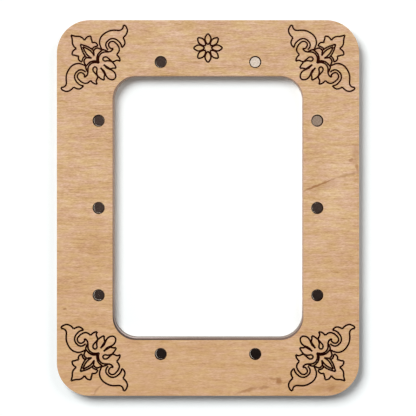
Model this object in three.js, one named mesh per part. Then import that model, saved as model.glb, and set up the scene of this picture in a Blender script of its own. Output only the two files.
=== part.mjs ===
// Magnetic embroidery frame: two flat plywood rings that clamp the fabric between them, held
// together by ten pairs of nickel-plated disc magnets glued into the rings.
// Millimetres. The frame lies flat on its back ring, +Z up, with +Y towards its top edge.
// The origin is on the surface that it rests on, under the middle of the window.
import * as THREE from 'three';

// Rings: both are cut to the same outline
const windowWidth = 130;
const windowHeight = 180;
const windowCornerRadius = 16;
const borderWidth = 38;
const outerCornerRadius = 22.5;
const ringThickness = 4;

// Disc magnets, one of each pair in each ring
const magnetDiameter = 8;
const magnetThickness = 3;
const magnetChamfer = 0.3;

// Places of the magnets: a column down each side, and a row across each end
const magnetFromWindow = 9.5; // from the window's straight edge to a magnet's centre
const sideMagnetPitch = 59.5;
const endMagnetPitch = 64.4;

// Fits
const glueGap = 0.1; // all round a magnet in its hole
const magnetSetBack = 0.1; // from a ring's clamping face to its magnets, so that the wood grips the fabric

// Roundness of the faceted solids
const cornerSteps = 12;
const discSteps = 24;

const plywood = { color: 0xd4ac86, roughness: 0.62, metalness: 0 };
const nickelPlate = { color: 0xb9b8b4, roughness: 0.22, metalness: 1 };

// A rectangle with round corners, drawn anticlockwise round the origin
function roundRectangle(path, width, height, radius) {
  const x = width / 2 - radius;
  const y = height / 2 - radius;
  path.moveTo(x, -y - radius);
  path.absarc(x, -y, radius, -Math.PI / 2, 0);
  path.absarc(x, y, radius, 0, Math.PI / 2);
  path.absarc(-x, y, radius, Math.PI / 2, Math.PI);
  path.absarc(-x, -y, radius, Math.PI, Math.PI * 1.5);
  path.closePath();
  return path;
}

// The magnets' names and places: three down each side of the window and two across each end
function magnetPlaces() {
  const columnX = windowWidth / 2 + magnetFromWindow;
  const rowY = windowHeight / 2 + magnetFromWindow;
  const places = [];
  for (const [side, sign] of [['left', -1], ['right', 1]]) {
    for (const [level, step] of [['upper', 1], ['middle', 0], ['lower', -1]]) {
      places.push({ name: `${side}_${level}`, x: sign * columnX, y: step * sideMagnetPitch });
    }
    for (const [end, direction] of [['top', 1], ['bottom', -1]]) {
      places.push({ name: `${end}_${side}`, x: sign * endMagnetPitch / 2, y: direction * rowY });
    }
  }
  return places;
}

// A flat ring with its window and its magnet holes cut right through, from z = 0 up
function ringGeometry(places) {
  const outerWidth = windowWidth + 2 * borderWidth;
  const outerHeight = windowHeight + 2 * borderWidth;
  const outline = roundRectangle(new THREE.Shape(), outerWidth, outerHeight, outerCornerRadius);
  outline.holes.push(roundRectangle(new THREE.Path(), windowWidth, windowHeight, windowCornerRadius));
  const points = outline.extractPoints(cornerSteps);
  const ring = new THREE.Shape(points.shape);
  ring.holes.push(new THREE.Path(points.holes[0]));
  for (const { x, y } of places) {
    ring.holes.push(new THREE.Path(discOutline(x, y, magnetDiameter / 2 + glueGap)));
  }
  return new THREE.ExtrudeGeometry(ring, { depth: ringThickness, bevelEnabled: false });
}

// The corners of a regular many-sided disc round a point
function discOutline(x, y, radius) {
  return Array.from({ length: discSteps }, (_, step) => {
    const turn = (2 * Math.PI * step) / discSteps;
    return new THREE.Vector2(x + radius * Math.cos(turn), y + radius * Math.sin(turn));
  });
}

// A disc magnet with a small chamfer round both faces, standing on z = 0
function magnetGeometry() {
  const radius = magnetDiameter / 2;
  const profile = [
    [0, 0],
    [radius - magnetChamfer, 0],
    [radius, magnetChamfer],
    [radius, magnetThickness - magnetChamfer],
    [radius - magnetChamfer, magnetThickness],
    [0, magnetThickness],
  ].map(([across, up]) => new THREE.Vector2(across, up));
  return new THREE.LatheGeometry(profile, discSteps).rotateX(Math.PI / 2);
}

// One half of the frame: a ring with ten magnets glued into it
function frameHalf(half, magnetLift) {
  const group = new THREE.Group();
  const places = magnetPlaces();
  const ring = new THREE.Mesh(ringGeometry(places), new THREE.MeshStandardMaterial(plywood));
  ring.name = `${half}_frame`;
  group.add(ring);
  for (const { name, x, y } of places) {
    const magnet = new THREE.Mesh(magnetGeometry(), new THREE.MeshStandardMaterial(nickelPlate));
    magnet.name = `${half}_magnet_${name}`;
    magnet.position.set(x, y, magnetLift);
    group.add(magnet);
  }
  return group;
}

// The back half's clamping face is its upper one, and the front half lies on it face to face
const embroideryFrame = new THREE.Group();
const backHalf = frameHalf('back', ringThickness - magnetSetBack - magnetThickness);
const frontHalf = frameHalf('front', magnetSetBack);
frontHalf.position.z = ringThickness;
embroideryFrame.add(backHalf, frontHalf);

export default embroideryFrame;
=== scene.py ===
import math
import random

import bpy
import mathutils
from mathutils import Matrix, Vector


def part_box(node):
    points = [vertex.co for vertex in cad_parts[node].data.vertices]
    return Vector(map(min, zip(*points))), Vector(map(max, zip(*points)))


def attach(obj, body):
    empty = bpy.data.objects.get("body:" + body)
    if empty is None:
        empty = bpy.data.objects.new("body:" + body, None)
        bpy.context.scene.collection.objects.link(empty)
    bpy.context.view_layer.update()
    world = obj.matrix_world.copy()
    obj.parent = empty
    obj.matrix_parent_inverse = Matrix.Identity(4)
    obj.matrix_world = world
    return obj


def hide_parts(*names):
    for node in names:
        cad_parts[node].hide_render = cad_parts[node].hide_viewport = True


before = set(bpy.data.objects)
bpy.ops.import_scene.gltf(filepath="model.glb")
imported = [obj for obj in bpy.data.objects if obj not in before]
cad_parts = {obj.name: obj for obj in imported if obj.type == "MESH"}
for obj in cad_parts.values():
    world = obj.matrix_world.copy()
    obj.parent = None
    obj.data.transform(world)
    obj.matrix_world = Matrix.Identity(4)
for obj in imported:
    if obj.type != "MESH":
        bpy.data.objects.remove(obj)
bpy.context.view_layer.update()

# Front ring
# One of two flat plywood rings that clamp the fabric, the one that shows. Its outline, window and
# magnet holes are laser-cut, which leaves them toasted brown, and the same laser draws the scrollwork
# at its corners and the rosette at its top as fine charred grooves in the pale sanded veneer.
MM = 0.001
WINDOW = (130 * MM, 180 * MM)
WINDOW_RADIUS = 16 * MM
OUTER_RADIUS = 22.5 * MM
HOLE_RADIUS = 4.1 * MM
EASED_EDGE = 0.15 * MM
GROOVE_WIDTH = 1.15 * MM
GROOVE_DEPTH = 0.35 * MM
# The laser burnt the strokes of the two lower corners a little wider
LOWER_BURN = 1.06

# The scrollwork of one corner is the same on both sides of its diagonal. These are the strokes of one
# side, in millimetres across and down from the ring's outer corner; a sharp point ends a stroke. A third
# number widens the stroke at that point.
SCROLLWORK = {
    "leaf_tip": [(10.0, 10.0), (13.0, 10.8), (15.8, 11.0), (17.4, 11.7), (18.5, 12.7), (19.2, 13.6)],
    "first_lobe": [(19.2, 13.6), (20.1, 12.2), (21.3, 11.1), (22.4, 10.8), (23.6, 10.8)],
    "lobe_side": [(23.6, 10.8), (23.7, 12.4), (24.2, 13.9), (24.3, 15.2)],
    "second_lobe": [(24.3, 15.2), (25.3, 15.0), (26.4, 15.1), (27.4, 15.8), (28.0, 16.7), (28.2, 17.6)],
    "lobe_foot": [(28.2, 17.6), (27.0, 17.7), (25.9, 18.1), (25.0, 18.8), (24.6, 19.8), (25.2, 20.4)],
    "eye_outside": [(16.3, 16.3), (18.4, 16.9), (20.3, 17.5), (22.3, 18.4), (24.0, 19.5), (25.2, 20.4)],
    "eye_tail": [(25.2, 20.4), (25.5, 21.9), (25.6, 23.0), (25.8, 24.1)],
    "eye_inside": [(18.0, 18.0), (19.7, 18.7), (21.3, 19.5), (23.0, 20.6), (24.2, 21.8), (25.1, 23.0),
                   (25.8, 24.1)],
    "side_petal": [(25.4, 20.7), (25.9, 19.9), (26.6, 19.3), (27.5, 18.9), (28.6, 19.0), (29.8, 19.5),
                   (30.9, 19.9), (32.1, 20.0), (33.7, 20.5), (35.3, 21.4)],
    "stem_outside": [(27.7, 27.7), (27.6, 25.8), (27.9, 24.3), (28.4, 23.0), (29.4, 21.8), (30.5, 20.8),
                     (31.3, 20.2)],
    "stem_inside": [(29.1, 29.1), (28.7, 27.2), (28.8, 25.4), (29.4, 23.8), (30.3, 22.7), (31.5, 21.9),
                    (33.0, 21.5), (35.0, 21.5), (36.9, 21.1), (38.1, 20.2), (38.8, 19.0)],
    "stem_shade": [(28.5, 28.6, 1.3), (28.3, 27.0, 1.1), (28.3, 25.6, 0.7), (28.6, 24.7, 0.4)],
    "volute": [(38.8, 19.0), (37.6, 19.3), (36.4, 18.5), (35.7, 17.3), (35.7, 15.9), (36.5, 14.9),
               (37.8, 14.3), (39.2, 14.5), (40.6, 15.6), (41.9, 17.1), (42.6, 18.5), (42.9, 19.8),
               (42.6, 21.2), (41.8, 22.4), (41.0, 23.3)],
    "barb": [(41.0, 23.3), (42.5, 24.9), (43.2, 26.3), (43.4, 27.9)],
    "loop": [(43.4, 27.9), (41.9, 27.2), (40.7, 27.3), (39.5, 27.9), (38.0, 28.1), (36.4, 27.6),
             (34.6, 27.5), (33.1, 27.7), (32.1, 27.2), (31.7, 26.3), (32.2, 25.3), (33.3, 24.9),
             (34.4, 25.1), (35.5, 25.9), (36.6, 26.9), (37.8, 28.0), (38.9, 29.2), (39.9, 30.6),
             (40.5, 31.8), (40.6, 32.7)],
    "loop_foot": [(40.6, 32.7), (39.1, 32.5), (37.8, 32.7), (36.6, 32.9), (35.3, 32.4), (33.8, 31.4),
                  (32.7, 30.6), (32.2, 30.0)],
    "middle_petal": [(32.2, 30.0, 0.9), (34.6, 32.1, 1.6), (36.4, 33.1, 1.4), (37.9, 34.0), (39.2, 35.0),
                     (40.0, 36.2), (40.4, 37.6), (40.3, 38.9), (39.8, 39.8)],
    "scroll_back": [(31.1, 20.0), (29.9, 17.4), (29.4, 15.4), (29.6, 13.4), (30.3, 11.6), (31.7, 9.8),
                    (33.3, 8.6), (35.3, 7.5), (37.7, 6.8), (40.3, 6.7), (42.9, 6.8), (44.3, 6.3),
                    (45.3, 5.1), (45.7, 3.2)],
    "scroll_head": [(45.7, 3.2), (46.9, 3.6), (47.9, 5.1), (48.4, 6.9), (48.0, 8.6), (46.9, 10.4),
                    (45.4, 11.7)],
    "scroll_lip": [(45.4, 11.7), (46.2, 13.2), (46.7, 14.9), (46.5, 16.3), (45.7, 17.5), (44.6, 18.5)],
    "scroll_inside": [(44.6, 18.5), (44.2, 16.7), (43.4, 15.3), (42.0, 13.9), (40.3, 12.8), (38.3, 12.4),
                      (36.4, 12.9), (34.9, 14.1), (33.9, 15.5), (33.7, 17.1), (34.2, 18.6), (35.3, 20.0)],
}
# The scrollwork stands a hair outward of and below the corner from which its points are measured
SCROLLWORK_SPREAD = 0.3 * MM
SCROLLWORK_DROP = 0.2 * MM

# One petal of the rosette, in millimetres along and across from its middle
ROSETTE_PETAL = [(2.2, 0.0), (4.2, 1.5), (6.6, 2.0), (8.4, 1.3), (9.9, 0.0)]
ROSETTE_PETALS = 8
ROSETTE_FROM_TOP = 19 * MM


def add(tree, kind, inputs=None, **settings):
    """Adds a node with its settings. An input, named or numbered, takes a value, a socket or a node."""
    node = tree.nodes.new(kind)
    for name, value in settings.items():
        setattr(node, name, value)
    for key, value in (inputs or {}).items():
        if isinstance(value, bpy.types.Node):
            value = next(socket for socket in value.outputs if socket.enabled)
        if isinstance(value, bpy.types.NodeSocket):
            tree.links.new(value, node.inputs[key])
        else:
            node.inputs[key].default_value = value
    return node


def colour(code):
    """Linear RGBA of an sRGB hex colour."""
    channels = [int(code[i:i + 2], 16) / 255 for i in (1, 3, 5)]
    linear = [c / 12.92 if c <= 0.04045 else ((c + 0.055) / 1.055) ** 2.4 for c in channels]
    return (*linear, 1.0)


def geometry_tree(name, inputs):
    """A new Geometry Nodes tree with a Geometry input and output and the named inputs."""
    tree = bpy.data.node_groups.new(name, "GeometryNodeTree")
    tree.interface.new_socket("Geometry", in_out="INPUT", socket_type="NodeSocketGeometry")
    tree.interface.new_socket("Geometry", in_out="OUTPUT", socket_type="NodeSocketGeometry")
    for label, kind in inputs.items():
        tree.interface.new_socket(label, in_out="INPUT", socket_type="NodeSocket" + kind)
    return tree, tree.nodes.new("NodeGroupInput").outputs


def shape_with(obj, tree, values):
    """Gives an object the tree as a modifier, with its named inputs set by their identifiers."""
    modifier = obj.modifiers.new(tree.name, "NODES")
    modifier.node_group = tree
    for item in tree.interface.items_tree:
        if item.in_out == "INPUT" and item.name in values:
            modifier[item.identifier] = values[item.name]


def plain_mesh(obj, name):
    """A new object with the evaluated mesh of another and no modifiers. The other is removed."""
    evaluated = obj.evaluated_get(bpy.context.evaluated_depsgraph_get())
    mesh = bpy.data.meshes.new_from_object(evaluated)
    mesh.name = name
    while None in mesh.materials[:]:
        mesh.materials.pop(index=mesh.materials[:].index(None))
    bpy.data.objects.remove(obj)
    piece = bpy.data.objects.new(name, mesh)
    bpy.context.scene.collection.objects.link(piece)
    return piece


# Straight pieces between two points of a stroke
STROKE_STEPS = 5


def stroke_object(name, strokes):
    """A curve object with one smooth spline through the points of each stroke, in millimetres."""
    data = bpy.data.curves.new(name, "CURVE")
    data.dimensions = "3D"
    data.resolution_u = STROKE_STEPS
    for points in strokes:
        spline = data.splines.new("BEZIER")
        spline.bezier_points.add(len(points) - 1)
        for knot, (across, up, *swell) in zip(spline.bezier_points, points):
            knot.co = (across * MM, up * MM, 0)
            knot.radius = swell[0] if swell else 1.0
            knot.handle_left_type = knot.handle_right_type = "AUTO"
    obj = bpy.data.objects.new(name, data)
    bpy.context.scene.collection.objects.link(obj)
    return obj


# Cutting leaves loose specks of fewer faces than this
SPECK_FACES = 30.0


def without_specks(tree, mesh):
    """The mesh without the loose specks of a few faces that cutting leaves."""
    island = add(tree, "GeometryNodeInputMeshIsland")
    faces = add(tree, "GeometryNodeAccumulateField", {"Value": 1.0, "Group ID": island}, domain="FACE")
    speck = add(tree, "FunctionNodeCompare", {"A": faces.outputs["Total"], "B": SPECK_FACES},
                operation="LESS_THAN")
    return add(tree, "GeometryNodeDeleteGeometry", {"Geometry": mesh, "Selection": speck}, domain="FACE")


def fused(tree, strokes):
    """One closed surface round swept strokes that run over each other."""
    whole = add(tree, "GeometryNodeMeshBoolean", {"Mesh 2": strokes, "Self Intersection": True},
                operation="UNION", solver="EXACT")
    return without_specks(tree, whole)


def groove_tree():
    """Mirrors one side's strokes over the corner's diagonal, sets the corner at all four corners, sets
    the rosette's petal round its middle, and sweeps the laser's groove along every stroke."""
    tree, given = geometry_tree("laser grooves", {
        "Half Width": "Float", "Half Height": "Float", "Spread": "Float", "Drop": "Float",
        "Petal": "Object", "Petals": "Int", "Rosette Height": "Float", "Groove Width": "Float",
        "Groove Depth": "Float", "Lower Burn": "Float", "Face Height": "Float", "Charred Wood": "Material"})
    # The groove's section is the lower half of a hexagon, whose flat lies nearer than its corners
    to_corner = 0.5
    to_flat = to_corner * math.cos(math.radians(30))
    height = add(tree, "ShaderNodeMath", {0: given["Groove Depth"], 1: to_flat}, operation="DIVIDE")
    section = add(tree, "ShaderNodeCombineXYZ", {"X": given["Groove Width"], "Y": height, "Z": 1.0})
    hexagon = add(tree, "GeometryNodeCurvePrimitiveCircle", {"Resolution": 6, "Radius": to_corner})
    profile = add(tree, "GeometryNodeTransform", {"Geometry": hexagon, "Scale": section})
    swell = add(tree, "GeometryNodeInputRadius")
    groove = {"Profile Curve": profile, "Fill Caps": True}

    diagonal = add(tree, "GeometryNodeTransform", {
        "Geometry": given["Geometry"], "Rotation": (0, 0, -math.pi / 2), "Scale": (1, -1, 1)})
    corner = add(tree, "GeometryNodeJoinGeometry")
    for side in (given["Geometry"], diagonal.outputs[0]):
        tree.links.new(side, corner.inputs[0])
    left = add(tree, "ShaderNodeMath", {0: given["Half Width"], 1: given["Spread"]}, operation="ADD")
    left = add(tree, "ShaderNodeMath", {0: left, 1: -1.0}, operation="MULTIPLY")
    top = add(tree, "ShaderNodeMath", {0: given["Half Height"], 1: given["Drop"]}, operation="SUBTRACT")
    place = add(tree, "ShaderNodeCombineXYZ", {"X": left, "Y": top})
    placed = add(tree, "GeometryNodeTransform", {"Geometry": corner, "Translation": place})

    # The upper left corner is cut once for the upper pair and once, burnt wider, for the lower pair
    cuts = add(tree, "GeometryNodeJoinGeometry")
    for up, burn in ((1, 1.0), (-1, given["Lower Burn"])):
        burnt = add(tree, "ShaderNodeMath", {0: swell, 1: burn}, operation="MULTIPLY")
        swept = add(tree, "GeometryNodeCurveToMesh", {"Curve": placed, "Scale": burnt, **groove})
        corner_cut = fused(tree, swept)
        for across in (1, -1):
            copy = add(tree, "GeometryNodeTransform", {"Geometry": corner_cut, "Scale": (across, up, 1)})
            if across * up < 0:
                copy = add(tree, "GeometryNodeFlipFaces", {"Mesh": copy})
            tree.links.new(copy.outputs[0], cuts.inputs[0])

    petal = add(tree, "GeometryNodeObjectInfo", {"Object": given["Petal"]}).outputs["Geometry"]
    petal_mirror = add(tree, "GeometryNodeTransform", {"Geometry": petal, "Scale": (1, -1, 1)})
    both = add(tree, "GeometryNodeJoinGeometry")
    for side in (petal, petal_mirror.outputs[0]):
        tree.links.new(side, both.inputs[0])
    middle = add(tree, "GeometryNodeMeshLine", {"Count": given["Petals"], "Offset": (0, 0, 0)})
    step = add(tree, "ShaderNodeMath", {0: 2 * math.pi, 1: given["Petals"]}, operation="DIVIDE")
    number = add(tree, "GeometryNodeInputIndex")
    turn = add(tree, "ShaderNodeMath", {0: number, 1: step}, operation="MULTIPLY")
    turned = add(tree, "ShaderNodeCombineXYZ", {"Z": turn})
    petals = add(tree, "GeometryNodeInstanceOnPoints", {
        "Points": middle, "Instance": both, "Rotation": turned})
    rosette_place = add(tree, "ShaderNodeCombineXYZ", {"Y": given["Rosette Height"]})
    rosette = add(tree, "GeometryNodeTransform", {"Geometry": petals, "Translation": rosette_place})
    rosette = add(tree, "GeometryNodeRealizeInstances", {"Geometry": rosette})
    swept = add(tree, "GeometryNodeCurveToMesh", {"Curve": rosette, "Scale": swell, **groove})
    rosette_cut = fused(tree, swept)
    tree.links.new(rosette_cut.outputs[0], cuts.inputs[0])

    lift = add(tree, "ShaderNodeCombineXYZ", {"Z": given["Face Height"]})
    lifted = add(tree, "GeometryNodeTransform", {"Geometry": cuts, "Translation": lift})
    whole = add(tree, "GeometryNodeRealizeInstances", {"Geometry": lifted})
    finished = add(tree, "GeometryNodeSetMaterial", {"Geometry": whole, "Material": given["Charred Wood"]})
    add(tree, "NodeGroupOutput", {"Geometry": finished})
    return tree


# Straight pieces in a rounded corner, and sides of a round hole or disc
CORNER_STEPS = 24
ROUND_SIDES = 64
# Corners that lie closer than this are one
WELD = 0.001 * MM


def ring_tree():
    """A flat ring with round outer corners, a window with round corners and a hole at every given point."""
    tree, given = geometry_tree("laser-cut ring", {
        "Outer Width": "Float", "Outer Height": "Float", "Outer Radius": "Float", "Window Width": "Float",
        "Window Height": "Float", "Window Radius": "Float", "Hole Radius": "Float", "Foot Height": "Float",
        "Thickness": "Float", "Face": "Material", "Edge": "Material"})
    outlines = add(tree, "GeometryNodeJoinGeometry")
    for part in ("Outer", "Window"):
        box = add(tree, "GeometryNodeCurvePrimitiveQuadrilateral", {
            "Width": given[part + " Width"], "Height": given[part + " Height"]})
        rounded = add(tree, "GeometryNodeFilletCurve", {
            "Curve": box, "Count": CORNER_STEPS, "Radius": given[part + " Radius"]}, mode="POLY")
        tree.links.new(rounded.outputs[0], outlines.inputs[0])
    hole = add(tree, "GeometryNodeCurvePrimitiveCircle", {
        "Resolution": ROUND_SIDES, "Radius": given["Hole Radius"]})
    holes = add(tree, "GeometryNodeInstanceOnPoints", {"Points": given["Geometry"], "Instance": hole})
    tree.links.new(holes.outputs[0], outlines.inputs[0])
    flat = add(tree, "GeometryNodeRealizeInstances", {"Geometry": outlines})
    sheet = add(tree, "GeometryNodeFillCurve", {"Curve": flat})
    foot = add(tree, "ShaderNodeCombineXYZ", {"Z": given["Foot Height"]})
    sheet = add(tree, "GeometryNodeTransform", {"Geometry": sheet, "Translation": foot})
    raised = add(tree, "GeometryNodeExtrudeMesh", {
        "Mesh": sheet, "Offset Scale": given["Thickness"], "Individual": False})
    under = add(tree, "GeometryNodeFlipFaces", {"Mesh": sheet})
    halves = add(tree, "GeometryNodeJoinGeometry")
    for half in (raised.outputs["Mesh"], under.outputs[0]):
        tree.links.new(half, halves.inputs[0])
    solid = add(tree, "GeometryNodeMergeByDistance", {"Geometry": halves, "Distance": WELD})

    # What lies level is veneer, and what stands is cut edge
    normal = add(tree, "GeometryNodeInputNormal")
    upright = add(tree, "ShaderNodeSeparateXYZ", {"Vector": normal})
    slope = add(tree, "ShaderNodeMath", {0: upright.outputs["Z"]}, operation="ABSOLUTE")
    level = add(tree, "FunctionNodeCompare", {"A": slope, "B": 0.5}, operation="GREATER_THAN")
    whole = add(tree, "GeometryNodeRealizeInstances", {"Geometry": solid})
    edged = add(tree, "GeometryNodeSetMaterial", {"Geometry": whole, "Material": given["Edge"]})
    faced = add(tree, "GeometryNodeSetMaterial", {
        "Geometry": edged, "Selection": level, "Material": given["Face"]})
    add(tree, "NodeGroupOutput", {"Geometry": faced})
    return tree


def finish_tree():
    """Sweeps loose specks off, and chars the walls and eased edges of the magnet holes, which burn darker
    than the long cuts."""
    tree, given = geometry_tree("swept and burnt", {
        "Hole Centres": "Object", "Burnt Radius": "Float", "Charred Wood": "Material"})
    swept = without_specks(tree, given["Geometry"])
    centres = add(tree, "GeometryNodeObjectInfo", {"Object": given["Hole Centres"]}).outputs["Geometry"]
    place = add(tree, "GeometryNodeInputPosition")
    place = add(tree, "ShaderNodeVectorMath", {0: place, 1: (1, 1, 0)}, operation="MULTIPLY")
    nearest = add(tree, "GeometryNodeProximity", {"Geometry": centres, "Sample Position": place},
                  target_element="POINTS")
    burnt = add(tree, "FunctionNodeCompare", {"A": nearest.outputs["Distance"], "B": given["Burnt Radius"]},
                operation="LESS_THAN")
    whole = add(tree, "GeometryNodeRealizeInstances", {"Geometry": swept})
    charred = add(tree, "GeometryNodeSetMaterial", {
        "Geometry": whole, "Selection": burnt, "Material": given["Charred Wood"]})
    add(tree, "NodeGroupOutput", {"Geometry": charred})
    return tree


def new_material(name):
    """A named material with its node tree and its shader."""
    material = bpy.data.materials.new(name)
    material.use_nodes = True
    return material, material.node_tree, material.node_tree.nodes["Principled BSDF"]


def millimetres(tree):
    """The place on the piece in millimetres, so that the scale of a pattern is its real size."""
    place = add(tree, "ShaderNodeTexCoord").outputs["Object"]
    return add(tree, "ShaderNodeVectorMath", {0: place, "Scale": 1 / MM}, operation="SCALE")


def flecks(tree, place, length, width, height=None, detail=2.0):
    """Soft noise from about 0.3 to 0.7 in flecks of this size in millimetres along X, Y and Z."""
    stretched = add(tree, "ShaderNodeMapping", {
        "Vector": place, "Scale": (1 / length, 1 / width, 1 / (height or width))})
    return add(tree, "ShaderNodeTexNoise", {"Vector": stretched, "Scale": 1.0, "Detail": detail})


def weighted(tree, base, parts):
    """A value plus each part times its weight."""
    total = base
    for part, weight in parts:
        total = add(tree, "ShaderNodeMath", {0: part, 1: weight, 2: total}, operation="MULTIPLY_ADD")
    return total


# Brown marks in the veneer: millimetres across and up from the ring's middle, half length, half width,
# degrees off level, and depth of tone from 0 to 1
VENEER_MARKS = [
    (75.5, 15.7, 15.0, 1.1, 22, 0.9), (79.0, 14.5, 13.0, 4.0, 23, 0.25), (96.0, 22.6, 11.0, 1.3, 12, 0.5),
    (97.5, 32.6, 2.2, 1.5, 20, 0.6), (101.4, 27.5, 1.5, 4.0, 8, 0.6), (100.8, 36.5, 3.0, 9.0, 0, 0.35),
    (26.5, -124.3, 10.0, 1.5, 17, 0.6), (38.3, -122.2, 5.0, 1.5, 10, 0.6),
    (44.4, -116.4, 4.2, 1.0, -8, 0.6), (48.2, -117.8, 2.8, 3.4, 10, 0.85),
    (52.5, -118.8, 5.5, 0.7, 0, 0.5), (62.0, -120.6, 7.0, 2.0, 4, 0.4), (82.0, -122.4, 16.0, 3.2, 4, 0.3),
    (84.0, -123.0, 4.0, 2.0, 8, 0.6), (101.5, -76.8, 1.6, 0.8, 0, 0.6),
    (-75.3, -123.7, 7.0, 0.9, 50, 0.5), (-97.4, -68.8, 1.5, 0.9, 0, 0.8), (-60.0, 103.0, 9.0, 0.8, 10, 0.3),
]


def sanded_veneer():
    # Birch plywood's face veneer, peeled and sanded, with a thin matt coat: pale straw brown, fine level
    # grain in broken lines, softer bands and clouds between them, and a few brown figure marks. Real fibres
    # are finer than the grain drawn here, whose third of a millimetre is the least that shows.
    material, tree, shader = new_material("sanded birch veneer")
    place = millimetres(tree)

    # The grain sways by a few millimetres on its way along the ring
    wander = flecks(tree, place, length=45, width=18, detail=1.0)
    sway = add(tree, "ShaderNodeMath", {0: wander, 1: 5.0}, operation="MULTIPLY")
    sway = add(tree, "ShaderNodeCombineXYZ", {"Y": sway})
    along = add(tree, "ShaderNodeVectorMath", {0: place, 1: sway}, operation="ADD")
    lines = flecks(tree, along, length=12, width=0.33, detail=1.0)
    fine = flecks(tree, along, length=1.6, width=0.34, detail=1.0)
    curl = flecks(tree, place, length=5, width=2.0, detail=3.0)
    bands = flecks(tree, along, length=40, width=3.0)
    clouds = flecks(tree, place, length=26, width=17)
    pores = flecks(tree, along, length=7, width=0.4, detail=1.0)
    pores = add(tree, "ShaderNodeMapRange", {"Value": pores, "From Min": 0.58, "From Max": 0.72})

    # One long soft patch at the right is paler
    patch = add(tree, "ShaderNodeMapping", {
        "Vector": place, "Location": (91, 24, 0), "Scale": (32, 62, 1000)}, vector_type="TEXTURE")
    patch = add(tree, "ShaderNodeVectorMath", {0: patch}, operation="LENGTH").outputs["Value"]
    paler = add(tree, "ShaderNodeMapRange", {
        "Value": patch, "From Min": 0.1, "From Max": 1.0, "To Min": 0.11, "To Max": 0.0},
        interpolation_type="SMOOTHSTEP")

    # The parts add up to about 1.65, which the base brings to the middle of the ramp
    base = -1.14
    tone = weighted(tree, base, [(lines, 0.9), (fine, 1.0), (curl, 0.5), (bands, 0.5), (clouds, 0.45),
                                 (pores, -0.25), (paler, 1.0)])
    ramp = add(tree, "ShaderNodeValToRGB", {"Fac": tone})
    stops = ramp.color_ramp.elements
    stops[0].position, stops[0].color = 0.0, colour("#ab7e4e")
    stops[1].position, stops[1].color = 1.0, colour("#edcda3")
    for position, code in ((0.3, "#c99d70"), (0.5, "#d4ab80"), (0.7, "#deb98f")):
        stops.new(position).color = colour(code)

    # Short patches of it lean toward yellow and others toward rose
    rosy = flecks(tree, along, length=9, width=3.5, detail=3.0)
    rosy = add(tree, "ShaderNodeMapRange", {"Value": rosy, "From Min": 0.36, "From Max": 0.64})
    yellow_cast = (0.99, 1.03, 0.97, 1)
    rose_cast = (1.01, 1.015, 1.23, 1)
    tint = add(tree, "ShaderNodeMix", {0: rosy, 6: yellow_cast, 7: rose_cast}, data_type="RGBA")
    tinted = add(tree, "ShaderNodeMix", {0: 1.0, 6: ramp.outputs["Color"], 7: tint.outputs[2]},
                 data_type="RGBA", blend_type="MULTIPLY")

    # The veneer is painted a little deeper and more orange toward the foot of the ring, as painted shade
    height = add(tree, "ShaderNodeSeparateXYZ", {"Vector": place})
    painted_foot_shade = add(tree, "ShaderNodeMapRange", {
        "Value": height.outputs["Y"], "From Min": 20.0, "From Max": -125.0, "To Max": 0.36})
    foot_shaded = add(tree, "ShaderNodeMix", {0: painted_foot_shade, 6: tinted.outputs[2], 7: colour("#c79967")},
               data_type="RGBA")

    # Each mark is a long soft spot, frayed by about a millimetre of noise
    fray = add(tree, "ShaderNodeTexNoise", {"Vector": place, "Scale": 0.35, "Detail": 3.0})
    fray = add(tree, "ShaderNodeVectorMath", {0: fray.outputs["Color"], 1: (-0.5, -0.5, -0.5)},
               operation="ADD")
    flat = add(tree, "ShaderNodeVectorMath", {0: place, 1: (1, 1, 0)}, operation="MULTIPLY")
    frayed = add(tree, "ShaderNodeVectorMath", {0: fray, 1: (2.5, 2.5, 0), 2: flat},
                 operation="MULTIPLY_ADD")
    total = 0.0
    for across, up, length, width, angle, depth in VENEER_MARKS:
        spot = add(tree, "ShaderNodeMapping", {
            "Vector": frayed, "Location": (across, up, 0), "Rotation": (0, 0, math.radians(angle)),
            "Scale": (length, width, 1)}, vector_type="TEXTURE")
        reach = add(tree, "ShaderNodeVectorMath", {0: spot}, operation="LENGTH").outputs["Value"]
        mark = add(tree, "ShaderNodeMapRange", {
            "Value": reach, "From Min": 0.35, "From Max": 1.1, "To Min": depth, "To Max": 0.0},
            interpolation_type="SMOOTHSTEP")
        total = add(tree, "ShaderNodeMath", {0: mark, 1: total}, operation="MAXIMUM")
    marked = add(tree, "ShaderNodeMix", {0: total, 6: foot_shaded.outputs[2], 7: colour("#a27145")},
                 data_type="RGBA")
    tree.links.new(marked.outputs[2], shader.inputs["Base Color"])

    # The coat is a little uneven, and the grain stands up under it by a few hundredths of a millimetre
    sheen = weighted(tree, 0.38, [(fine, 0.3), (clouds, 0.15)])
    tree.links.new(sheen.outputs[0], shader.inputs["Roughness"])
    relief = weighted(tree, fine, [(lines, 0.6)])
    bump = add(tree, "ShaderNodeBump", {"Strength": 0.5, "Distance": 0.03 * MM, "Height": relief})
    tree.links.new(bump.outputs[0], shader.inputs["Normal"])
    return material


# Thickness of the plywood sheet that both rings are cut from
SHEET = 4 * MM


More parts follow.
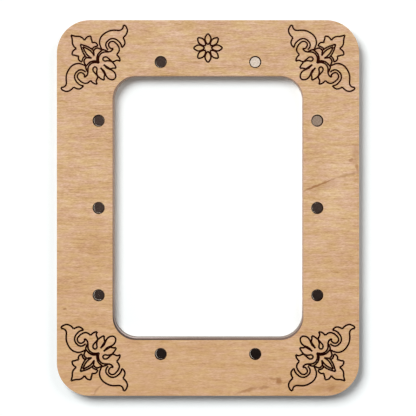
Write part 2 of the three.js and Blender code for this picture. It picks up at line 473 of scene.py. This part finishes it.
def laser_edge(half, veneers, core, glue, scorch_and_foot_shade, foot_shade, entry_tone, entry_foot, lower_left_share, lower_left_from):
    # The cut edge of three-ply birch, toasted by the laser: brown, the cross-grained core deeper than the
    # face veneers, thin dark glue lines, upright ripples from the beam's pulses, drawn coarser than life so
    # that they show, and painted shade: the walls turn toward the scorch colour below the window's foot.
    material, tree, shader = new_material("laser-cut plywood edge, " + half + " ring")
    place = millimetres(tree)
    height = add(tree, "ShaderNodeSeparateXYZ", {"Vector": place})
    depth = add(tree, "ShaderNodeMath", {0: height.outputs["Z"], 1: SHEET / MM}, operation="DIVIDE")
    depth = add(tree, "ShaderNodeMath", {0: depth}, operation="FRACT")
    uneven = flecks(tree, place, length=12, width=12)
    depth = weighted(tree, depth, [(uneven, 0.06)])
    plies = add(tree, "ShaderNodeValToRGB", {"Fac": depth})
    stops = plies.color_ramp.elements
    stops[0].position, stops[0].color = 0.0, colour(glue)
    stops[1].position, stops[1].color = 1.0, colour(glue)
    for position, code in ((0.06, veneers), (0.30, veneers), (0.33, glue), (0.36, core),
                           (0.66, core), (0.69, glue), (0.72, veneers), (0.95, veneers)):
        stops.new(position).color = colour(code)
    ripples = flecks(tree, place, length=1 / 3, width=1 / 3, height=1 / 0.12, detail=3.0)
    soot = add(tree, "ShaderNodeMapRange", {
        "Value": ripples, "From Min": 0.35, "From Max": 0.7, "To Max": 0.45})
    toasted = add(tree, "ShaderNodeMix", {0: soot, 6: plies.outputs["Color"], 7: colour(scorch_and_foot_shade)},
                  data_type="RGBA")
    # Painted shade: below the window's foot the walls turn toward the scorch colour by this share
    foot_shade_mask = add(tree, "ShaderNodeMapRange", {
        "Value": height.outputs["Y"], "From Min": -64.0, "From Max": -82.0, "To Max": foot_shade})
    darkened = add(tree, "ShaderNodeMix", {0: foot_shade_mask, 6: toasted.outputs[2], 7: colour(scorch_and_foot_shade)},
                   data_type="RGBA")

    # The mark lies at the top of the edge, from the face down to entry_foot of the sheet's height. It is
    # faint until across plus up falls to the given start in mm, grows from there toward the lower left, and
    # is full at the end below.
    lower_left_to = -130.0
    toward = weighted(tree, height.outputs["X"], [(height.outputs["Y"], 1.0)])
    lower_left_mark = add(tree, "ShaderNodeMapRange", {
        "Value": toward, "From Min": lower_left_from, "From Max": lower_left_to, "To Min": 0.1 * lower_left_share,
        "To Max": lower_left_share})
    entry = add(tree, "ShaderNodeMapRange", {
        "Value": depth, "From Min": entry_foot, "From Max": entry_foot + 0.12})
    burnt = add(tree, "ShaderNodeMath", {0: lower_left_mark, 1: entry}, operation="MULTIPLY")
    burnt = add(tree, "ShaderNodeMix", {0: burnt, 6: darkened.outputs[2], 7: colour(entry_tone)},
                data_type="RGBA")
    tree.links.new(burnt.outputs[2], shader.inputs["Base Color"])
    shader.inputs["Roughness"].default_value = 0.75
    bump = add(tree, "ShaderNodeBump", {"Strength": 0.6, "Distance": 0.05 * MM, "Height": ripples})
    tree.links.new(bump.outputs[0], shader.inputs["Normal"])
    return material


def charred_wood():
    # Wood burnt by the laser: near black with a red-brown cast, dull, browner in small patches burnt less,
    # and a little darker toward the foot of the ring.
    material, tree, shader = new_material("charred wood")
    place = millimetres(tree)
    patches = add(tree, "ShaderNodeTexNoise", {"Vector": place, "Scale": 0.8, "Detail": 3.0})
    height = add(tree, "ShaderNodeSeparateXYZ", {"Vector": place})
    deeper = add(tree, "ShaderNodeMapRange", {
        "Value": height.outputs["Y"], "From Min": 60.0, "From Max": -90.0, "To Max": -0.25})
    burn = weighted(tree, patches, [(deeper, 1.0)])
    ramp = add(tree, "ShaderNodeValToRGB", {"Fac": burn})
    stops = ramp.color_ramp.elements
    stops[0].position, stops[0].color = 0.25, colour("#1d0401")
    stops[1].position, stops[1].color = 0.75, colour("#3b160a")
    tree.links.new(ramp.outputs["Color"], shader.inputs["Base Color"])
    shader.inputs["Roughness"].default_value = 0.9
    shader.inputs["Specular IOR Level"].default_value = 0.05
    grit = add(tree, "ShaderNodeTexNoise", {"Vector": place, "Scale": 6.0, "Detail": 2.0})
    bump = add(tree, "ShaderNodeBump", {"Strength": 0.6, "Distance": 0.04 * MM, "Height": grit})
    tree.links.new(bump.outputs[0], shader.inputs["Normal"])
    return material


VENEER = sanded_veneer()
# The front ring's edge is darker than the back one's, whose edge is paler at the window's lower left
EDGES = {
    "front": laser_edge("front", veneers="#d3b09a", core="#bc9781", glue="#866550", scorch_and_foot_shade="#553f37",
                        foot_shade=0.88, entry_tone="#2b1a14", entry_foot=0.28, lower_left_share=0.85, lower_left_from=-60.0),
    "back": laser_edge("back", veneers="#e4cfbd", core="#d4bba9", glue="#ab917f", scorch_and_foot_shade="#84786f",
                       foot_shade=0.97, entry_tone="#c9bcba", entry_foot=0.62, lower_left_share=0.9, lower_left_from=-105.0),
}
CHAR = charred_wood()
RING = ring_tree()
FINISH = finish_tree()
# Edges sharper than this are eased
EASED_ABOVE = math.radians(60)
# Edges sharper than this stay crisp where round walls are shaded smooth
CRISP_ABOVE = math.radians(12)


def hole_centres(half):
    """An object with a point at the middle of each of the half's magnets, level with the table."""
    magnets = [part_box(node) for node in sorted(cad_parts) if node.startswith(half + "_magnet")]
    points = bpy.data.meshes.new(half + " hole centres")
    points.from_pydata([((a.x + b.x) / 2, (a.y + b.y) / 2, 0) for a, b in magnets], [], [])
    obj = bpy.data.objects.new(half + "_hole_centres", points)
    bpy.context.scene.collection.objects.link(obj)
    return obj


def laser_cut_ring(half, centres, laser_path=None):
    """The ring of one half, cut to the CAD solid's own box and round its own magnets, and engraved along
    the laser's path if it has one."""
    low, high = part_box(half + "_frame")
    blank = bpy.data.objects.new(half + "_blank", centres.data)
    bpy.context.scene.collection.objects.link(blank)
    shape_with(blank, RING, {
        "Outer Width": high.x - low.x, "Outer Height": high.y - low.y, "Outer Radius": OUTER_RADIUS,
        "Window Width": WINDOW[0], "Window Height": WINDOW[1], "Window Radius": WINDOW_RADIUS,
        "Hole Radius": HOLE_RADIUS, "Foot Height": low.z, "Thickness": high.z - low.z,
        "Face": VENEER, "Edge": EDGES[half]})
    eased = blank.modifiers.new("eased edges", "BEVEL")
    eased.width = EASED_EDGE
    eased.segments = 2
    eased.limit_method = "ANGLE"
    eased.angle_limit = EASED_ABOVE
    if laser_path:
        engraving = blank.modifiers.new("engraving", "BOOLEAN")
        engraving.operation = "DIFFERENCE"
        engraving.solver = "MANIFOLD"
        engraving.object = laser_path
        engraving.material_mode = "TRANSFER"
    shape_with(blank, FINISH, {
        "Hole Centres": centres, "Burnt Radius": HOLE_RADIUS + EASED_EDGE, "Charred Wood": CHAR})
    return blank


def smooth_round(piece):
    """Shades round walls smooth and keeps every real edge crisp."""
    piece.data.shade_smooth()
    piece.data.set_sharp_from_angle(angle=CRISP_ABOVE)


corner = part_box("front_frame")[1]
strokes = stroke_object("scrollwork", [[(across, -down, *swell) for across, down, *swell in stroke]
                                       for stroke in SCROLLWORK.values()])
petal = stroke_object("rosette petal", [ROSETTE_PETAL])
shape_with(strokes, groove_tree(), {
    "Half Width": corner.x, "Half Height": corner.y, "Spread": SCROLLWORK_SPREAD,
    "Drop": SCROLLWORK_DROP, "Petal": petal, "Petals": ROSETTE_PETALS,
    "Rosette Height": corner.y - ROSETTE_FROM_TOP, "Groove Width": GROOVE_WIDTH,
    "Groove Depth": GROOVE_DEPTH, "Lower Burn": LOWER_BURN, "Face Height": corner.z, "Charred Wood": CHAR})
laser_path = plain_mesh(strokes, "laser path")
bpy.data.objects.remove(petal)
front_centres = hole_centres("front")
front_ring = plain_mesh(laser_cut_ring("front", front_centres, laser_path), "front_frame_engraved")
bpy.data.objects.remove(laser_path)
bpy.data.objects.remove(front_centres)
smooth_round(front_ring)
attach(front_ring, "front")
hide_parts("front_frame")

# Back ring
# The other plywood ring, laser-cut to the same outline and left plain. The fabric lies between the two,
# and they come apart when the front one is lifted off the back one's magnets.
back_centres = hole_centres("back")
back_ring = plain_mesh(laser_cut_ring("back", back_centres), "back_frame_plain")
bpy.data.objects.remove(back_centres)
smooth_round(back_ring)
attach(back_ring, "back")
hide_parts("back_frame")

# Magnets
# Ten nickel-plated neodymium discs in each ring, pressed into glue in their holes just below the face, so
# each sits a little off level and catches the light in its own way.
MAGNET_ROUNDING = 0.65 * MM
# Each magnet's tilt about both axes is up to this, at random from this seed
MAGNET_TILT = math.radians(0.4)
MAGNET_SEED = 8
# The glue leaves bare the faces whose normal is this near to vertical: the flat ones and the first ring of
# the rounded rim. The dark glue on the rest of the rim is partly painted shade.
BARE_NICKEL = 0.9


def magnet_tree():
    """A disc at every given point, turned by that point's tilt."""
    tree, given = geometry_tree("disc magnets", {
        "Radius": "Float", "Thickness": "Float", "Nickel": "Material"})
    disc = add(tree, "GeometryNodeMeshCylinder", {
        "Vertices": ROUND_SIDES, "Radius": given["Radius"], "Depth": given["Thickness"]})
    tilt = add(tree, "GeometryNodeInputNamedAttribute", {"Name": "tilt"}, data_type="FLOAT_VECTOR")
    discs = add(tree, "GeometryNodeInstanceOnPoints", {
        "Points": given["Geometry"], "Instance": disc.outputs["Mesh"], "Rotation": tilt.outputs[0]})
    whole = add(tree, "GeometryNodeRealizeInstances", {"Geometry": discs})
    plated = add(tree, "GeometryNodeSetMaterial", {"Geometry": whole, "Material": given["Nickel"]})
    add(tree, "NodeGroupOutput", {"Geometry": plated})
    return tree


def nickel_plate():
    # Bright nickel plate over a ground magnet: a warm grey mirror, a little milky and mottled by handling.
    material, tree, shader = new_material("nickel-plated magnet")
    place = millimetres(tree)
    mottle = add(tree, "ShaderNodeTexNoise", {"Vector": place, "Scale": 0.9, "Detail": 3.0})
    ramp = add(tree, "ShaderNodeValToRGB", {"Fac": mottle})
    stops = ramp.color_ramp.elements
    stops[0].position, stops[0].color = 0.35, colour("#cfc9bd")
    stops[1].position, stops[1].color = 0.65, colour("#e4dfd5")
    tree.links.new(ramp.outputs["Color"], shader.inputs["Base Color"])
    shader.inputs["Metallic"].default_value = 1.0
    haze = add(tree, "ShaderNodeMapRange", {
        "Value": mottle, "From Min": 0.3, "From Max": 0.7, "To Min": 0.06, "To Max": 0.09})
    tree.links.new(haze.outputs[0], shader.inputs["Roughness"])
    return material


def glue_and_rim_shade():
    # The glue that holds a magnet, crept up over its rounded rim: dull dark brown, as dark as the shade in
    # the gap between the magnet and its hole, so it is partly painted shade.
    material, tree, shader = new_material("glue and painted rim shade")
    smears = add(tree, "ShaderNodeTexNoise", {"Vector": millimetres(tree), "Scale": 1.2, "Detail": 2.0})
    ramp = add(tree, "ShaderNodeValToRGB", {"Fac": smears})
    stops = ramp.color_ramp.elements
    stops[0].position, stops[0].color = 0.35, colour("#30180c")
    stops[1].position, stops[1].color = 0.65, colour("#55301c")
    tree.links.new(ramp.outputs["Color"], shader.inputs["Base Color"])
    shader.inputs["Roughness"].default_value = 0.6
    return material


MAGNET = magnet_tree()
NICKEL = nickel_plate()
GLUE_AND_RIM_SHADE = glue_and_rim_shade()
chance = random.Random(MAGNET_SEED)
for half in ("front", "back"):
    nodes = sorted(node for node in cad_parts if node.startswith(half + "_magnet"))
    boxes = [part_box(node) for node in nodes]
    points = bpy.data.meshes.new(half + " magnet places")
    points.from_pydata([tuple((low + high) / 2) for low, high in boxes], [], [])
    tilts = points.attributes.new("tilt", "FLOAT_VECTOR", "POINT")
    for place in tilts.data:
        place.vector = [chance.uniform(-MAGNET_TILT, MAGNET_TILT) for _ in range(2)] + [0]
    discs = bpy.data.objects.new(half + "_places", points)
    bpy.context.scene.collection.objects.link(discs)
    low, high = boxes[0]
    shape_with(discs, MAGNET, {
        "Radius": (high.x - low.x) / 2, "Thickness": high.z - low.z, "Nickel": NICKEL})
    rounding = discs.modifiers.new("rounded rims", "BEVEL")
    rounding.width = MAGNET_ROUNDING
    rounding.segments = 4
    rounding.limit_method = "ANGLE"
    rounding.angle_limit = EASED_ABOVE
    magnets = plain_mesh(discs, half + "_magnets")
    # The rim's outer faces take the dark glue, partly painted shade of the gap round each magnet
    magnets.data.materials.append(GLUE_AND_RIM_SHADE)
    for face in magnets.data.polygons:
        face.use_smooth = len(face.vertices) == 4
        face.material_index = 1 if abs(face.normal.z) < BARE_NICKEL else 0
    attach(magnets, half)
    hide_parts(*nodes)

# Studio
# A white table that keeps the frame's soft shadow, a large round lamp close by at the upper left and a
# small one at the upper right. The magnets mirror a room that is white low down and dark overhead, a white
# screen at the left, and two small faint lamps near the camera.
FLOOR_REACH = 3.0
FLOOR_GAP = 0.05 * MM
floor_mesh = bpy.data.meshes.new("white table")
floor_mesh.from_pydata([(across * FLOOR_REACH, up * FLOOR_REACH, 0)
                        for across, up in ((-1, -1), (1, -1), (1, 1), (-1, 1))], [], [(0, 1, 2, 3)])
floor = bpy.data.objects.new("white_table", floor_mesh)
bpy.context.scene.collection.objects.link(floor)
floor.location.z = -FLOOR_GAP


def seen_directly(tree):
    """1 where a camera, glossy or transmission ray meets the surface, and 0 for the light that it gives."""
    rays = add(tree, "ShaderNodeLightPath").outputs
    seen = add(tree, "ShaderNodeMath", {0: rays["Is Camera Ray"], 1: rays["Is Glossy Ray"]},
               operation="MAXIMUM")
    return add(tree, "ShaderNodeMath", {0: seen, 1: rays["Is Transmission Ray"]}, operation="MAXIMUM")


# A matt white table top. It reflects light as white card does, and is seen a shade over white, so that the
# open table comes out white and the frame's shadow stays.
table_white, tree, shader = new_material("white table top")
as_lit = (0.8, 0.8, 0.8, 1)
as_seen = (1.02, 1.07, 1.07, 1)
table = add(tree, "ShaderNodeMix", {0: seen_directly(tree), 6: as_lit, 7: as_seen}, data_type="RGBA")
tree.links.new(table.outputs[2], shader.inputs["Base Color"])
shader.inputs["Roughness"].default_value = 1.0
shader.inputs["Specular IOR Level"].default_value = 0.0
floor_mesh.materials.append(table_white)


def lamp(name, strength, spread, across, up, tint):
    """A far lamp of this strength and spread in degrees, off vertical toward +X and +Y by these degrees."""
    data = bpy.data.lights.new(name, "SUN")
    data.energy = strength
    data.color = colour(tint)[:3]
    data.angle = math.radians(spread)
    obj = bpy.data.objects.new(name, data)
    bpy.context.scene.collection.objects.link(obj)
    toward = mathutils.Vector((math.tan(math.radians(across)), math.tan(math.radians(up)), 1))
    obj.rotation_euler = toward.to_track_quat("Z", "Y").to_euler()


def round_lamp(name, energy, radius, place):
    """A round lamp that mirrors don't show. It grows stronger with distance, so the table is lit evenly."""
    data = bpy.data.lights.new(name, "POINT")
    data.energy = energy
    data.shadow_soft_size = radius
    data.use_nodes = True
    tree = data.node_tree
    falloff = add(tree, "ShaderNodeLightFalloff", {"Strength": 1.0})
    distance = add(tree, "ShaderNodeLightPath").outputs["Ray Length"]
    even = add(tree, "ShaderNodeMath", {0: falloff.outputs["Constant"], 1: distance}, operation="MULTIPLY")
    tree.links.new(even.outputs[0], tree.nodes["Emission"].inputs["Strength"])
    obj = bpy.data.objects.new(name, data)
    bpy.context.scene.collection.objects.link(obj)
    obj.location = place
    obj.visible_camera = False
    obj.visible_glossy = False


round_lamp("main lamp", energy=57.0, radius=0.18, place=(-0.258, 0.340, 0.485))
round_lamp("side lamp", energy=9.1, radius=0.10, place=(0.300, 0.280, 0.400))
# The right-hand magnet at the top mirrors the first faint lamp, and the upper one at the right the second
lamp("first faint lamp", strength=0.0185, spread=9, across=4.2, up=10.5, tint="#fff5ed")
lamp("second faint lamp", strength=0.0075, spread=9, across=10.2, up=2.0, tint="#ffe6d4")

world = bpy.data.worlds.new("room")
bpy.context.scene.world = world
world.use_nodes = True
tree = world.node_tree
toward = add(tree, "ShaderNodeTexCoord").outputs["Generated"]
direction = add(tree, "ShaderNodeSeparateXYZ", {"Vector": toward}).outputs

# The ceiling is dark, darkest toward the foot of the frame and a little lighter toward its left
ceiling = add(tree, "ShaderNodeMapRange", {
    "Value": direction["Y"], "From Min": -0.34, "From Max": -0.12, "To Min": 0.014, "To Max": 0.080})
ceiling = add(tree, "ShaderNodeMath", {0: direction["X"], 1: -0.045, 2: ceiling}, operation="MULTIPLY_ADD")
ceiling = add(tree, "ShaderNodeMath", {0: ceiling, 1: 0.004}, operation="MAXIMUM")
ceiling_tint = (1, 0.72, 0.68)
ceiling = add(tree, "ShaderNodeVectorMath", {0: ceiling_tint, "Scale": ceiling}, operation="SCALE")

# Low down the room is white, and it lights the frame with this share of what mirrors show
horizon_light = 0.7
horizon = add(tree, "ShaderNodeMapRange", {"Value": seen_directly(tree), "To Min": horizon_light})
overhead = add(tree, "ShaderNodeMapRange", {"Value": direction["Z"], "From Max": 0.88})
room = add(tree, "ShaderNodeMix", {0: overhead, 6: horizon, 7: ceiling}, data_type="RGBA")

# A white screen at the left, lower than what the magnets' flat faces mirror, shines along their rounded
# rims. It gives no light itself.
side = add(tree, "ShaderNodeVectorMath", {0: toward, 1: (-0.85, -0.5, 0)}, operation="DOT_PRODUCT")
side = side.outputs["Value"]
beside = add(tree, "ShaderNodeMapRange", {"Value": side, "From Min": 0.28, "From Max": 0.38})
below = add(tree, "ShaderNodeMapRange", {"Value": direction["Z"], "From Min": 0.90, "From Max": 0.87})
above = add(tree, "ShaderNodeMapRange", {"Value": direction["Z"], "From Min": 0.70, "From Max": 0.73})
screen = add(tree, "ShaderNodeMath", {0: below, 1: above}, operation="MULTIPLY")
screen = add(tree, "ShaderNodeMath", {0: screen, 1: beside}, operation="MULTIPLY")
screen = add(tree, "ShaderNodeMath", {0: screen, 1: seen_directly(tree)}, operation="MULTIPLY")
screen_white = (2.4, 2.3, 2.2, 1)
room = add(tree, "ShaderNodeMix", {0: screen, 6: room.outputs[2], 7: screen_white}, data_type="RGBA")

# The camera itself sees a plain white backdrop
backdrop = add(tree, "ShaderNodeLightPath").outputs["Is Camera Ray"]
room = add(tree, "ShaderNodeMix", {0: backdrop, 6: room.outputs[2], 7: (1, 1, 1, 1)}, data_type="RGBA")
tree.links.new(room.outputs[2], tree.nodes["Background"].inputs["Color"])

# The camera looks straight down from 0.4 m, from a little to the upper right of the frame's middle, and its
# shift brings the frame back to the middle of the picture
camera_data = bpy.data.cameras.new("camera")
camera = bpy.data.objects.new("camera", camera_data)
bpy.context.scene.collection.objects.link(camera)
camera_data.sensor_width = 36
camera_data.lens = 50.8
camera.location = (0.016, 0.040, 0.408)
camera_data.shift_x = -0.0564
camera_data.shift_y = -0.1412
bpy.context.scene.camera = camera
bpy.context.scene.view_settings.view_transform = "Standard"
